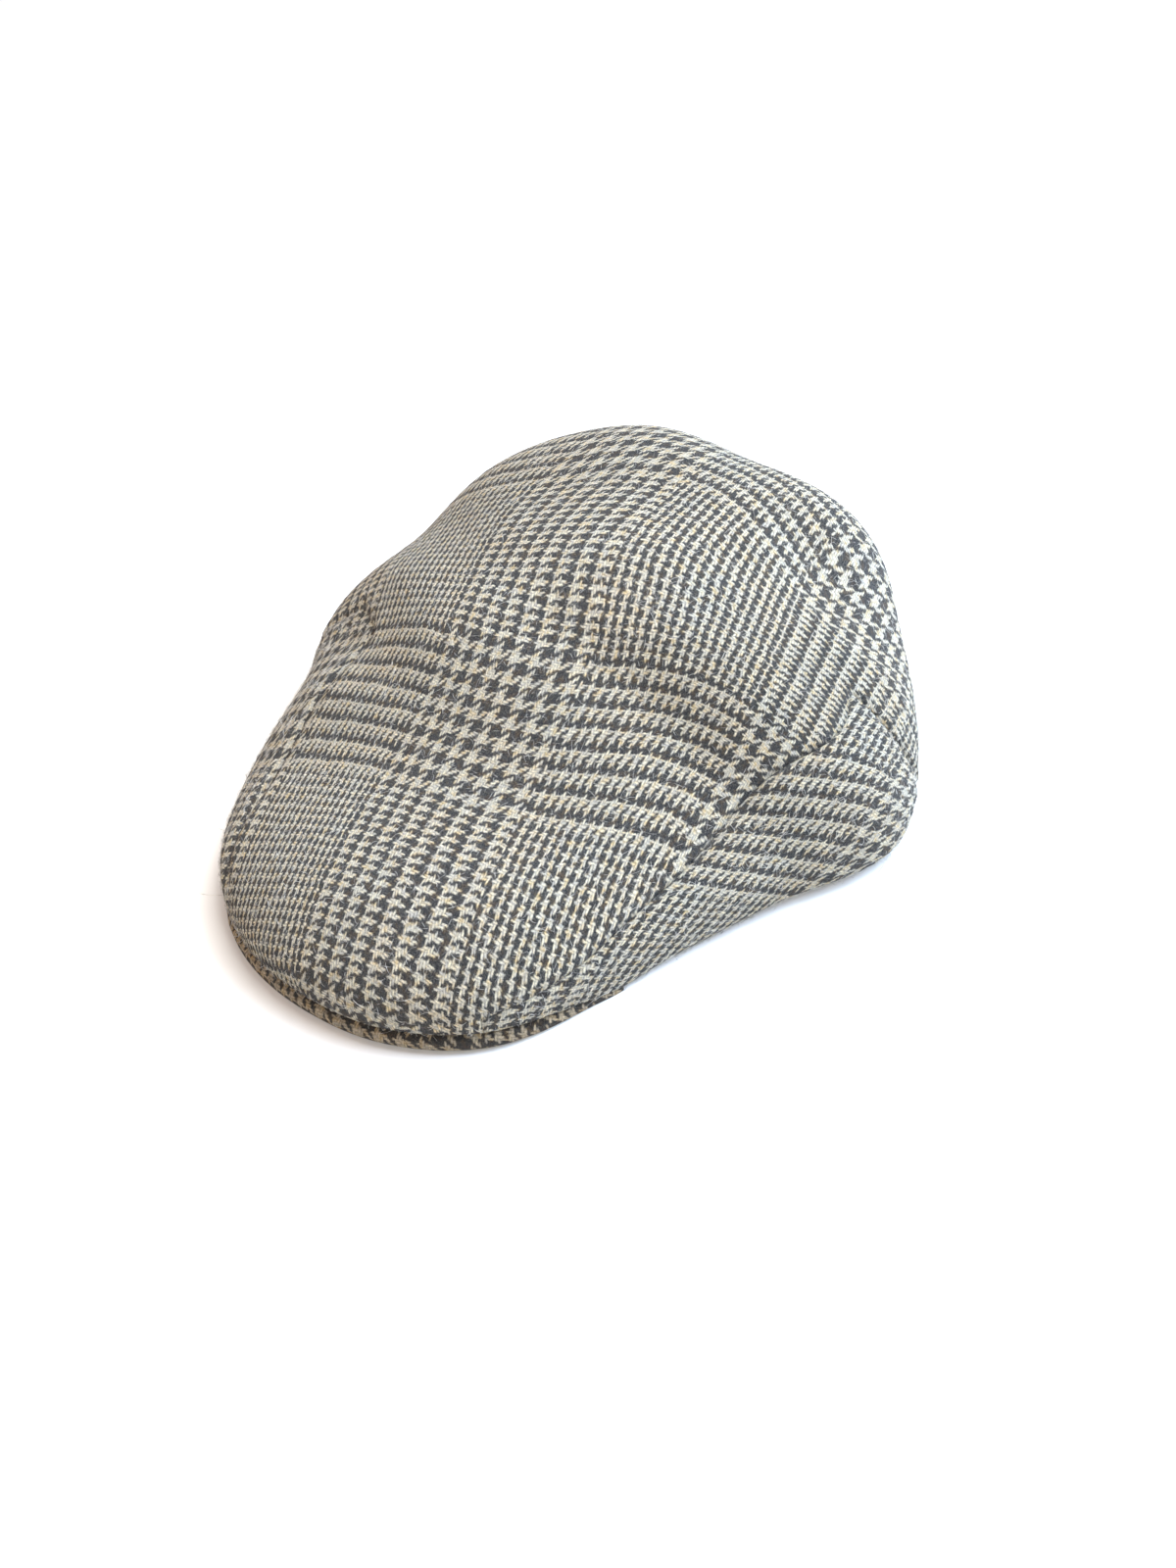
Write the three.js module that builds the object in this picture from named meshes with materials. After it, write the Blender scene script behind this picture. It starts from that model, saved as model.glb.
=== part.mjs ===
// A tweed flat cap lying on its rim: one long top panel, two side panels and a stiff cloth-covered peak.
// Millimetres, +Z up, the peak towards -Y and the wearer's left towards +X.
//
// The three cloth panels share one smooth outer surface, which is described from the crown's centre outwards.
// A place on it is named as on the flat cloth before it was sewn: the direction walked in, in degrees from the
// front towards the wearer's left, and the distance walked over the surface.
import * as THREE from "three";

// Driving dimensions.
const CLOTH_WALL = 2; // the cloth with its interlining
const PIECE_GAP = 0.3; // kept between the cloth and the peak
const SEAM_GAP = 0.5; // kept between two panels, on the flat cloth
const PEAK_THICKNESS = 4.2; // board and cloth
const PEAK_RIM_PROUD = 2.4; // how far the peak's rolled rim stands out beyond the cloth above it
const PEAK_MIDDLE = -7; // direction of the peak's middle against the panels' axis
const PEAK_HALF_ANGLE = 37; // degrees either side of its middle where the peak's corners end
const PEAK_FOOT_WIDTH = 7; // flat strip under the rim, where the peak rests
const PEAK_SLOPE = 0.3; // rise of the peak for each millimetre towards its rear edge
const HEAD_LENGTH = 196; // the oval opening for the head
const HEAD_WIDTH = 168;
const HEAD_CENTRE_Y = 2;
const TURN = 6; // the whole cap is turned by this much towards the wearer's left
const CROWN_SOFT = 0.15; // rounds the crown's centre, as a share of the reach
const LEAN = 0.02; // how much higher the cloth lies for each millimetre towards the wearer's left

// How far the cap reaches from the crown's centre at its widest height, each side of the front. It lies a little
// askew, as in the photo, so that the two sides differ.
const REACH = [
  { angle: 0, left: 131.5, right: 131.5 },
  { angle: 12, left: 127, right: 132 },
  { angle: 26, left: 113, right: 131 },
  { angle: 40, left: 103, right: 126 },
  { angle: 58, left: 101.5, right: 113.5 },
  { angle: 78, left: 114, right: 101.5 },
  { angle: 98, left: 108.5, right: 107 },
  { angle: 118, left: 105.5, right: 99 },
  { angle: 138, left: 110.5, right: 105.5 },
  { angle: 158, left: 106, right: 109.5 },
  { angle: 180, left: 113.5, right: 113.5 },
];

// The shape of the section in each direction, alike on both sides. bulge is the height of the widest line, and
// crown and shoulder are the powers that bend the cloth over from the top to that line.
const SECTIONS = [
  { angle: 0, bulge: 7.5, crown: 4, shoulder: 2.6 },
  { angle: 40, bulge: 6.5, crown: 3, shoulder: 2.4 },
  { angle: 90, bulge: 6.5, crown: 1.5, shoulder: 2.2 },
  { angle: 130, bulge: 26, crown: 1.7, shoulder: 2 },
  { angle: 180, bulge: 22, crown: 2.1, shoulder: 2 },
];

// The hem in each direction from the peak's middle. Its inner edge is firm on the oval for the head at the sides
// and behind, and hangs straight down in front, where it stands on the peak. It ends at the height rise, and turns
// flat inwards for the width of lip.
const HEM = [
  { angle: 0, rise: 5, firm: 0, lip: 0.5 },
  { angle: 22, rise: 5, firm: 0.01, lip: 0.5 },
  { angle: 38, rise: 1.4, firm: 0.03, lip: 0.5 },
  { angle: 52, rise: 0, firm: 0.55, lip: 5 },
  { angle: 75, rise: 0, firm: 1, lip: 7 },
  { angle: 180, rise: 0, firm: 1, lip: 7 },
];

// The height that the cloth would have over each place along the cap, were it not bent down to the bulge.
const PROFILE = [
  { y: -160, height: 20 },
  { y: -110, height: 32 },
  { y: -60, height: 36 },
  { y: -10, height: 61 },
  { y: 40, height: 73 },
  { y: 85, height: 90 },
  { y: 125, height: 58 },
];

// The seam between the top panel and a side panel, from its tip in front to its corner behind: its distance above
// the hem, walked over the cloth, in each direction.
const SEAM = [
  { angle: 12, left: 6.5, right: 4 },
  { angle: 20, left: 10, right: 4.5 },
  { angle: 30, left: 18.5, right: 6 },
  { angle: 38, left: 27, right: 16.5 },
  { angle: 59, left: 48, right: 58 },
  { angle: 75, left: 72, right: 73.5 },
  { angle: 90, left: 74, right: 73 },
];

// The seam's way down from its corner to the hem: its direction at each share of the way.
const SEAM_DROP = [
  { share: 0, angle: 90 },
  { share: 0.3, angle: 89.5 },
  { share: 1, angle: 94 },
];

// The peak's rolled rim, from the cloth above it down to the foot, as shares of how far it stands out and how high.
const PEAK_RIM = [
  { proud: 0.2, height: 1 },
  { proud: 0.8, height: 0.86 },
  { proud: 1, height: 0.52 },
  { proud: 0.8, height: 0.2 },
  { proud: 0.1, height: 0 },
];

// Soft dents and puffs of the cloth, laid flat. height is along the surface's normal, and turn is the direction
// of the long way in degrees from the wearer's left towards the back.
const FOLDS = [
  { out: 35, along: -28, turn: -28, long: 110, wide: 32, height: -3 }, // the valley before the crown
  { out: 52, along: 4, turn: -22, long: 100, wide: 34, height: 2.5 }, // the crown's puff behind it
  { out: 70, along: 42, turn: -39, long: 70, wide: 22, height: -2 },
  { out: 96, along: 16, turn: -20, long: 44, wide: 26, height: 2 }, // over the left seam's corner
  { out: -66, along: -22, turn: -32, long: 60, wide: 26, height: -2.5 }, // by the right seam
  { out: -62, along: 6, turn: -32, long: 44, wide: 22, height: 1.5 },
];

// How finely the pieces are divided. Columns run from the crown's centre to the hem, and rings run round it.
const MERIDIAN_STEPS = 44;
const TUCK_STEPS = 8;
const SIDE_COLUMNS = 24; // beside each side panel's seam
const REAR_COLUMNS = 36;
const FRONT_COLUMNS = 8;
const CROWN_RINGS = 12; // from the crown's centre to the seams
const HEM_RINGS = 12; // from the seams to the hem
const PEAK_ACROSS = 32;

const DEGREE = Math.PI / 180;

// A smooth curve through the rows: cubics whose slope at each row comes from the rows on both sides.
function curveThrough(places, values) {
  const last = places.length - 1;
  const secant = (i) => (values[i + 1] - values[i]) / (places[i + 1] - places[i]);
  const slopes = places.map((_, i) => {
    if (i === 0) return secant(0);
    if (i === last) return secant(last - 1);
    const before = places[i] - places[i - 1];
    const after = places[i + 1] - places[i];
    return (after * secant(i - 1) + before * secant(i)) / (before + after);
  });
  return (place) => {
    let i = 0;
    while (i < last - 1 && place > places[i + 1]) i++;
    const width = places[i + 1] - places[i];
    const t = THREE.MathUtils.clamp((place - places[i]) / width, 0, 1);
    const u = 1 - t;
    return (
      u * u * (1 + 2 * t) * values[i] +
      t * u * u * width * slopes[i] +
      t * t * (3 - 2 * t) * values[i + 1] -
      t * t * u * width * slopes[i + 1]
    );
  };
}

// The same, round a full turn. Angles run from -180 to 180, the wearer's right being negative.
function curveRound(rows, leftOf, rightOf) {
  const right = rows.slice(1).reverse().map((row) => [-row.angle, rightOf(row)]);
  const left = rows.map((row) => [row.angle, leftOf(row)]);
  const turn = [...right, ...left];
  const before = turn.slice(-3, -1).map(([angle, value]) => [angle - 360, value]);
  const after = turn.slice(1, 3).map(([angle, value]) => [angle + 360, value]);
  const all = [...before, ...turn, ...after];
  return curveThrough(
    all.map(([angle]) => angle),
    all.map(([, value]) => value),
  );
}

// The same direction, from -180 to 180 degrees.
const turned = (angle) => angle - 360 * Math.round(angle / 360);

const sectionOf = (key) => curveRound(SECTIONS, (row) => row[key], (row) => row[key]);
const hemOf = (key) => {
  const curve = curveRound(HEM, (row) => row[key], (row) => row[key]);
  return (angle) => curve(turned(angle - PEAK_MIDDLE));
};
const reachAt = curveRound(REACH, (row) => row.left, (row) => row.right);
const bulgeAt = sectionOf("bulge");
const crownAt = sectionOf("crown");
const shoulderAt = sectionOf("shoulder");
const hemAt = hemOf("rise");
const firmAt = hemOf("firm");
const lipAt = hemOf("lip");
const profileAt = curveThrough(
  PROFILE.map((row) => row.y),
  PROFILE.map((row) => row.height),
);

// The oval for the head: its distance from the crown's axis in one direction.
function headOval(angle) {
  const a = HEAD_WIDTH / 2;
  const b = HEAD_LENGTH / 2;
  const sine = Math.sin(angle * DEGREE) / a;
  const cosine = Math.cos(angle * DEGREE) / b;
  const shift = (HEAD_CENTRE_Y * Math.cos(angle * DEGREE)) / (b * b);
  const square = sine * sine + cosine * cosine;
  return (-shift + Math.sqrt(shift * shift - square * ((HEAD_CENTRE_Y / b) ** 2 - 1))) / square;
}

// How far the hem tucks in from the widest line.
function tuckAt(angle) {
  const toOval = reachAt(angle) - headOval(angle) - lipAt(angle);
  return Math.max(0.5, THREE.MathUtils.lerp(0.5, toOval, firmAt(angle)));
}

// The section in one direction, from the crown's centre to the hem's inner edge, for a wall that is depth deep
// in from the outside. Both skins have matching points. Returns places with out, the distance from the axis.
function section(angle, depth) {
  const reach = reachAt(angle) - depth;
  const bulge = bulgeAt(angle);
  const crown = crownAt(angle);
  const shoulder = shoulderAt(angle);
  const hem = Math.max(0, hemAt(angle));
  const tuck = tuckAt(angle);
  const turnedIn = THREE.MathUtils.clamp(tuck / (3 * CLOTH_WALL), 0, 1);
  const back = -Math.cos(angle * DEGREE);
  const points = [];
  for (let i = 0; i <= MERIDIAN_STEPS; i++) {
    const bend = (i / MERIDIAN_STEPS) * (Math.PI / 2);
    const share = Math.sin(bend) ** (2 / crown);
    const aside = reachAt(angle) * share * Math.sin(angle * DEGREE);
    const top = Math.max(profileAt(reachAt(angle) * share * back) + LEAN * aside, bulge + 1) - depth;
    const soft = (Math.hypot(share, CROWN_SOFT) - CROWN_SOFT) / (Math.hypot(1, CROWN_SOFT) - CROWN_SOFT);
    const left = Math.max(0, 1 - soft ** crown) ** (1 / shoulder);
    points.push({ out: reach * share, z: bulge + (top - bulge) * left });
  }
  const tuckedIn = tuck - depth * turnedIn;
  const low = hem + depth * turnedIn;
  for (let i = 1; i <= TUCK_STEPS; i++) {
    const bend = (i / TUCK_STEPS) * (Math.PI / 2);
    points.push({
      out: reach - tuckedIn * (1 - Math.cos(bend)),
      z: bulge - (bulge - low) * Math.sin(bend),
    });
  }
  points.push({ out: reach - tuckedIn - Math.max(0.4, lipAt(angle)), z: low });
  return points;
}

// Both skins of one direction with the distance walked over the outer one, kept because many places share it.
const sections = new Map();
function sectionAt(angle) {
  const key = turned(angle).toFixed(3);
  if (!sections.has(key)) {
    const outer = section(turned(angle), 0);
    const inner = section(turned(angle), CLOTH_WALL);
    const walked = [0];
    for (let i = 1; i < outer.length; i++) {
      const step = Math.hypot(outer[i].out - outer[i - 1].out, outer[i].z - outer[i - 1].z);
      walked.push(walked[i - 1] + step);
    }
    sections.set(key, { outer, inner, walked });
  }
  return sections.get(key);
}

const hemDistance = (angle) => sectionAt(angle).walked.at(-1);

// A place on the smooth surface, outer or inner.
function smoothPlace(angle, distance, skin) {
  const { walked, [skin]: points } = sectionAt(angle);
  let i = 1;
  while (i < walked.length - 1 && walked[i] < distance) i++;
  const t = THREE.MathUtils.clamp((distance - walked[i - 1]) / (walked[i] - walked[i - 1]), 0, 1);
  const out = THREE.MathUtils.lerp(points[i - 1].out, points[i].out, t);
  const z = THREE.MathUtils.lerp(points[i - 1].z, points[i].z, t);
  return new THREE.Vector3(out * Math.sin(angle * DEGREE), -out * Math.cos(angle * DEGREE), z);
}

const angleOf = (flat) => Math.atan2(flat.x, -flat.y) / DEGREE;
const flatAt = (angle, distance) =>
  new THREE.Vector2(distance * Math.sin(angle * DEGREE), -distance * Math.cos(angle * DEGREE));

// How far the folds lift or press the cloth at a place on the flat cloth.
function foldHeight(flat) {
  let height = 0;
  for (const fold of FOLDS) {
    const turn = fold.turn * DEGREE;
    const dx = flat.x - fold.out;
    const dy = flat.y - fold.along;
    const along = (dx * Math.cos(turn) + dy * Math.sin(turn)) / fold.long;
    const across = (dy * Math.cos(turn) - dx * Math.sin(turn)) / fold.wide;
    height += fold.height * Math.exp(-4 * (along * along + across * across));
  }
  return height;
}

// The outward normal of the smooth surface, from small steps both ways on the flat cloth.
function normalAt(flat) {
  const reach = 1.5;
  const near = (dx, dy) => {
    const place = new THREE.Vector2(flat.x + dx, flat.y + dy);
    const distance = Math.min(place.length(), hemDistance(angleOf(place)));
    return smoothPlace(angleOf(place), distance, "outer");
  };
  const east = near(reach, 0).sub(near(-reach, 0));
  const north = near(0, reach).sub(near(0, -reach));
  return east.cross(north).normalize();
}

// A place on the cloth's outer or inner skin, folds included. The hem keeps its place, so that it lies flat.
function clothPlace(flat, skin) {
  const angle = angleOf(flat);
  const place = smoothPlace(angle, flat.length(), skin);
  const toHem = hemDistance(angle) - flat.length();
  const free = THREE.MathUtils.smoothstep(toHem, 12, 40);
  return place.addScaledVector(normalAt(flat), foldHeight(flat) * free);
}

// The net laid over the flat cloth. Its sectors, each a number of columns, meet at the two seams' tips and corners.
const aboveHem = (side) =>
  curveThrough(
    SEAM.map((row) => row.angle),
    SEAM.map((row) => row[side]),
  );
const aboveLeft = aboveHem("left");
const aboveRight = aboveHem("right");
const dropAngle = curveThrough(
  SEAM_DROP.map((row) => row.share),
  SEAM_DROP.map((row) => row.angle),
);
const TIP = SEAM[0].angle;
const CORNER = SEAM.at(-1).angle;
const leftSeam = (angle) => hemDistance(angle) - aboveLeft(angle);
const rightSeam = (angle) => hemDistance(angle) - aboveRight(360 - angle);
const straight = (from, to) => (angle, share) => THREE.MathUtils.lerp(from, to, share);
const SECTORS = [
  { columns: SIDE_COLUMNS, from: () => TIP, to: dropAngle, seam: leftSeam },
  {
    columns: REAR_COLUMNS,
    from: dropAngle,
    to: (t) => 360 - dropAngle(t),
    seam: straight(leftSeam(CORNER), rightSeam(360 - CORNER)),
  },
  { columns: SIDE_COLUMNS, from: (t) => 360 - dropAngle(t), to: () => 360 - TIP, seam: rightSeam },
  {
    columns: FRONT_COLUMNS,
    from: () => 360 - TIP,
    to: () => 360 + TIP,
    seam: straight(rightSeam(360 - TIP), leftSeam(TIP)),
  },
];
const STARTS = SECTORS.map((_, i) => SECTORS.slice(0, i).reduce((sum, sector) => sum + sector.columns, 0));
const COLUMNS = STARTS.at(-1) + SECTORS.at(-1).columns;
const RINGS = CROWN_RINGS + HEM_RINGS;

function netPlace(column, ring) {
  const i = STARTS.findLastIndex((start) => start <= column % COLUMNS);
  const { columns, from, to, seam } = SECTORS[i];
  const share = ((column % COLUMNS) - STARTS[i]) / columns;
  const angleAt = (t) => THREE.MathUtils.lerp(from(t), to(t), share);
  const toSeam = seam(angleAt(0), share);
  if (ring <= CROWN_RINGS) return flatAt(angleAt(0), (toSeam * ring) / CROWN_RINGS);
  const t = (ring - CROWN_RINGS) / HEM_RINGS;
  return flatAt(angleAt(t), THREE.MathUtils.lerp(toSeam, hemDistance(angleAt(t)), t));
}

// The net's knots along one seam: up from the hem to its tip, along to its corner, and down to the hem again.
function seamKnots(sector) {
  const first = STARTS[sector];
  const last = first + SECTORS[sector].columns;
  const knots = [];
  for (let ring = RINGS; ring > CROWN_RINGS; ring--) knots.push([first, ring]);
  for (let column = first; column <= last; column++) knots.push([column, CROWN_RINGS]);
  for (let ring = CROWN_RINGS + 1; ring <= RINGS; ring++) knots.push([last, ring]);
  return knots;
}

const knotName = (column, ring) => (ring === 0 ? "centre" : (column % COLUMNS) + "," + ring);

// The knots along one seam moved aside on the flat cloth, so that the panels on its two sides keep the gap.
function movedAside(sector, distance) {
  const knots = seamKnots(sector);
  const line = knots.map(([column, ring]) => netPlace(column, ring));
  const moved = line.map((place, i) => {
    const before = line[Math.max(0, i - 1)];
    const after = line[Math.min(line.length - 1, i + 1)];
    const way = after.clone().sub(before).normalize();
    return place.clone().add(new THREE.Vector2(-way.y, way.x).multiplyScalar(distance));
  });
  return new Map(knots.map(([column, ring], i) => [knotName(column, ring), moved[i]]));
}

// A panel's closed solid from the meshes of the net that it covers: both skins, and the wall between them along
// every mesh side that has no neighbour. Knots along a seam are at their moved places.
function panel(covers, moved) {
  const names = new Map();
  const outer = [];
  const inner = [];
  const indexOf = (column, ring) => {
    const name = knotName(column, ring);
    if (!names.has(name)) {
      const flat = moved.get(name) ?? netPlace(column, ring);
      names.set(name, names.size);
      outer.push(clothPlace(flat, "outer"));
      inner.push(clothPlace(flat, "inner"));
    }
    return names.get(name);
  };
  const rings = [];
  for (let column = 0; column < COLUMNS; column++)
    for (let ring = 0; ring < RINGS; ring++) {
      if (!covers(column, ring)) continue;
      const [a, b] = [indexOf(column, ring), indexOf(column, ring + 1)];
      const [c, d] = [indexOf(column + 1, ring + 1), indexOf(column + 1, ring)];
      rings.push(ring === 0 ? [a, b, c] : [a, b, c, d]);
    }
  const count = names.size;
  const sides = new Map();
  const faces = [];
  for (const corners of rings) {
    for (let k = 2; k < corners.length; k++) {
      faces.push(corners[0], corners[k - 1], corners[k]);
      faces.push(count + corners[0], count + corners[k], count + corners[k - 1]);
    }
    corners.forEach((from, k) => {
      const to = corners[(k + 1) % corners.length];
      sides.set(from + ">" + to, [from, to]);
    });
  }
  for (const [from, to] of sides.values())
    if (!sides.has(to + ">" + from)) faces.push(to, from, count + from, to, count + from, count + to);
  return solid([...outer, ...inner].flatMap((place) => place.toArray()), faces);
}

function topPanel() {
  const sideSector = (column) => column < STARTS[1] || (column >= STARTS[2] && column < STARTS[3]);
  const moved = new Map([...movedAside(0, SEAM_GAP / 2), ...movedAside(2, SEAM_GAP / 2)]);
  return panel((column, ring) => ring < CROWN_RINGS || !sideSector(column), moved);
}

function sidePanel(sector) {
  const last = STARTS[sector] + SIDE_COLUMNS;
  const moved = movedAside(sector, -SEAM_GAP / 2);
  return panel((column, ring) => ring >= CROWN_RINGS && column >= STARTS[sector] && column < last, moved);
}

function solid(positions, faces) {
  const geometry = new THREE.BufferGeometry();
  geometry.setAttribute("position", new THREE.Float32BufferAttribute(positions, 3));
  geometry.setIndex(faces);
  geometry.computeVertexNormals();
  return geometry;
}

// The peak's section in one direction, a closed loop: its top from the rear edge down to the rolled rim, round the
// rim to the flat foot that it rests on, and back along the underside.
function peakSection(angle) {
  const edge = reachAt(angle) - tuckAt(angle);
  const neck = edge - CLOTH_WALL - lipAt(angle) - 1;
  const level = hemAt(angle) - PIECE_GAP;
  const ends = THREE.MathUtils.smoothstep(PEAK_HALF_ANGLE - Math.abs(angle - PEAK_MIDDLE), 0, 16);
  const proud = PEAK_RIM_PROUD * ends;
  const rear = headOval(angle);
  const rearTop = level + PEAK_SLOPE * (neck - rear);
  const between = (near, far, count) =>
    Array.from({ length: count + 1 }, (_, i) => ({
      out: THREE.MathUtils.lerp(near.out, far.out, i / count),
      z: THREE.MathUtils.lerp(near.z, far.z, i / count),
    }));
  return [
    ...between({ out: rear, z: rearTop }, { out: neck, z: level }, 3),
    ...PEAK_RIM.map((row) => ({ out: edge + proud * row.proud, z: level * row.height })),
    ...between({ out: edge - PEAK_FOOT_WIDTH, z: 0 }, { out: rear, z: rearTop - PEAK_THICKNESS }, 2),
  ];
}

function peak() {
  const angles = Array.from({ length: PEAK_ACROSS + 1 }, (_, i) =>
    THREE.MathUtils.lerp(PEAK_MIDDLE - PEAK_HALF_ANGLE, PEAK_MIDDLE + PEAK_HALF_ANGLE, i / PEAK_ACROSS),
  );
  const loops = angles.map(peakSection);
  const count = loops[0].length;
  const positions = loops.flatMap((loop, i) => {
    const turn = angles[i] * DEGREE;
    return loop.flatMap(({ out, z }) => [out * Math.sin(turn), -out * Math.cos(turn), z]);
  });
  const faces = [];
  for (let i = 0; i < PEAK_ACROSS; i++)
    for (let k = 0; k < count; k++) {
      const next = (k + 1) % count;
      const [a, b, c, d] = [i * count + k, i * count + next, (i + 1) * count + next, (i + 1) * count + k];
      faces.push(a, b, c, a, c, d);
    }
  const outline = loops[0].map(({ out, z }) => new THREE.Vector2(out, z));
  for (const [p, q, r] of THREE.ShapeUtils.triangulateShape(outline, [])) faces.push(p, q, r);
  const last = PEAK_ACROSS * count;
  const endOutline = loops.at(-1).map(({ out, z }) => new THREE.Vector2(out, z));
  for (const [p, q, r] of THREE.ShapeUtils.triangulateShape(endOutline, [])) faces.push(last + p, last + r, last + q);
  return solid(positions, faces);
}

function cloth(name, geometry, color) {
  const material = new THREE.MeshStandardMaterial({ color, roughness: 0.95, metalness: 0 });
  const mesh = new THREE.Mesh(geometry, material);
  mesh.name = name;
  return mesh;
}

const cap = new THREE.Group();
cap.add(cloth("top_panel", topPanel(), 0xa19e98));
cap.add(cloth("side_panel_left", sidePanel(0), 0x98958f));
cap.add(cloth("side_panel_right", sidePanel(2), 0x8f8a80));
cap.add(cloth("peak", peak(), 0x6e6860));

// The cap is turned to bring the peak to the front, and the origin is the middle of its box, on the surface that it
// rests on.
for (const piece of cap.children) piece.geometry.rotateZ(TURN * DEGREE);
const box = new THREE.Box3().setFromObject(cap);
const middle = box.getCenter(new THREE.Vector3());
for (const piece of cap.children) piece.geometry.translate(-middle.x, -middle.y, -box.min.z);

export default cap;
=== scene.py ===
# %% [markdown]
# # A tweed flat cap
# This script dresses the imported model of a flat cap. The CAD solids fix its size, its hollow and what it collides
# with. Here the cloth gets its fine shape, its weave and its wool. Everything is in metres in the same frame as the
# CAD: +Z up, the peak towards -Y and the wearer's left towards +X.

import bpy
import numpy as np
from mathutils import Matrix, Vector


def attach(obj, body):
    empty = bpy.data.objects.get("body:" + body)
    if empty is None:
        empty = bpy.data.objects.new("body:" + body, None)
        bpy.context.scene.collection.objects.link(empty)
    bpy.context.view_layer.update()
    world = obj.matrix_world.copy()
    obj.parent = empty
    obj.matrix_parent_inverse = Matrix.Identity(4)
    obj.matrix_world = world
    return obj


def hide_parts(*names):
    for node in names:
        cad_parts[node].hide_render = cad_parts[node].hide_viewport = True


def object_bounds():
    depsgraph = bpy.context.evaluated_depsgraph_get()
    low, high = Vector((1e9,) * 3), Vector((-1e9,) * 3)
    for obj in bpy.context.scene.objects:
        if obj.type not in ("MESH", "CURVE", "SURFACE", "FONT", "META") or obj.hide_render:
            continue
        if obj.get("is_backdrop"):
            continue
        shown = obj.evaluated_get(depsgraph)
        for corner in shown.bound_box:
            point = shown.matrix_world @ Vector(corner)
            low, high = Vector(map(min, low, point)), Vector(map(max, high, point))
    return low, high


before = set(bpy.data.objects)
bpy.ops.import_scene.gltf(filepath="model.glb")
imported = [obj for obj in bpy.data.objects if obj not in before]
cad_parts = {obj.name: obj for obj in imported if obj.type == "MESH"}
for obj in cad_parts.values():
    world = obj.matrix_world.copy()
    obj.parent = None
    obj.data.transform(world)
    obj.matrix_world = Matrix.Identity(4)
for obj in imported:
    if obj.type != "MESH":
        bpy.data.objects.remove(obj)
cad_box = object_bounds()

# %% [markdown]
# ## Camera, floor and light
# The camera stands where the photographer's did: a step to the wearer's left of the front, about 37 degrees above
# the floor and tilted a little. Its lens is given as pixels of the 1200 by 1600 frame, and its shift brings the cap
# to its place in the frame.

# %% The camera
CAMERA = {"azimuth": 37.7, "elevation": 36.7, "roll": -10.9, "distance": 0.52, "focal_px": 1669}
FRAME_PX, CENTRE_PX = (1200, 1600), (581.5, 659.4)
TARGET = Vector((-0.0036, 0.0106, 0.040))


def make_camera():
    """The camera looks at the target from its azimuth and elevation. Its own axes are the right, the up and the way
    back, the first two turned by the roll."""
    az, el, roll = np.radians([CAMERA["azimuth"], CAMERA["elevation"], CAMERA["roll"]])
    back = np.array([np.sin(az) * np.cos(el), -np.cos(az) * np.cos(el), np.sin(el)])
    right = np.array([np.cos(az), np.sin(az), 0])
    up = np.cross(back, right)
    axes = np.stack([right * np.cos(roll) + up * np.sin(roll), up * np.cos(roll) - right * np.sin(roll), back], 1)
    data = bpy.data.cameras.new("camera")
    data.lens = data.sensor_width * CAMERA["focal_px"] / FRAME_PX[1]
    data.shift_x = (FRAME_PX[0] / 2 - CENTRE_PX[0]) / FRAME_PX[1]
    data.shift_y = (CENTRE_PX[1] - FRAME_PX[1] / 2) / FRAME_PX[1]
    data.clip_start, data.clip_end = 0.01, 100
    camera = bpy.data.objects.new("camera", data)
    bpy.context.scene.collection.objects.link(camera)
    camera.matrix_world = Matrix.Translation(TARGET + Vector(back) * CAMERA["distance"]) @ Matrix(axes).to_4x4()
    bpy.context.scene.camera = camera
    return camera


camera = make_camera()
print("camera at", [round(x, 3) for x in camera.location], "lens", round(camera.data.lens, 1), "mm")

# %% [markdown]
# The photo's light is a broad window from behind and to the right, with a dim warm room on the other side. Large
# area lights give the same soft shade, and a pale world fills it.

# %% Floor and lights
LIGHTS = [  # where from in degrees, how far and how large in metres, how strong in watts
    {"name": "window", "azimuth": 130, "elevation": 35, "distance": 1.6, "size": 1.2, "power": 62,
     "colour": (0.56, 0.74, 1.0)},
    {"name": "ceiling behind", "azimuth": 160, "elevation": 60, "distance": 1.6, "size": 1.2, "power": 40,
     "colour": (0.98, 0.97, 0.95)},
    {"name": "front fill", "azimuth": 30, "elevation": 35, "distance": 2.0, "size": 1.6, "power": 26,
     "colour": (1.0, 0.95, 0.90)},
    {"name": "warm side", "azimuth": -80, "elevation": 25, "distance": 2.0, "size": 1.5, "power": 10,
     "colour": (1.0, 0.42, 0.18)},
]
FLOOR_COLOUR, ROOM_COLOUR, ROOM_STRENGTH = (0.84, 0.84, 0.83, 1), (1.0, 0.97, 0.94, 1), 0.15


def make_floor():
    """A large pale plane just under the cap."""
    mesh = bpy.data.meshes.new("floor")
    mesh.from_pydata([(-6, -6, 0), (6, -6, 0), (6, 6, 0), (-6, 6, 0)], [], [(0, 1, 2, 3)])
    material = bpy.data.materials.new("pale floor")
    material.use_nodes = True
    surface = material.node_tree.nodes["Principled BSDF"]
    surface.inputs["Base Color"].default_value = FLOOR_COLOUR
    surface.inputs["Roughness"].default_value = 0.9
    mesh.materials.append(material)
    floor = bpy.data.objects.new("floor", mesh)
    bpy.context.scene.collection.objects.link(floor)
    floor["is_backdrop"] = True


def make_light(name, azimuth, elevation, distance, size, power, colour):
    """A square area light in a direction, turned to the cap."""
    az, el = np.radians([azimuth, elevation])
    data = bpy.data.lights.new(name, "AREA")
    data.shape, data.size, data.energy, data.color = "SQUARE", size, power, colour
    light = bpy.data.objects.new(name, data)
    light.location = Vector((np.sin(az) * np.cos(el), -np.cos(az) * np.cos(el), np.sin(el))) * distance
    light.rotation_euler = light.location.to_track_quat("Z", "Y").to_euler()
    bpy.context.scene.collection.objects.link(light)


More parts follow.
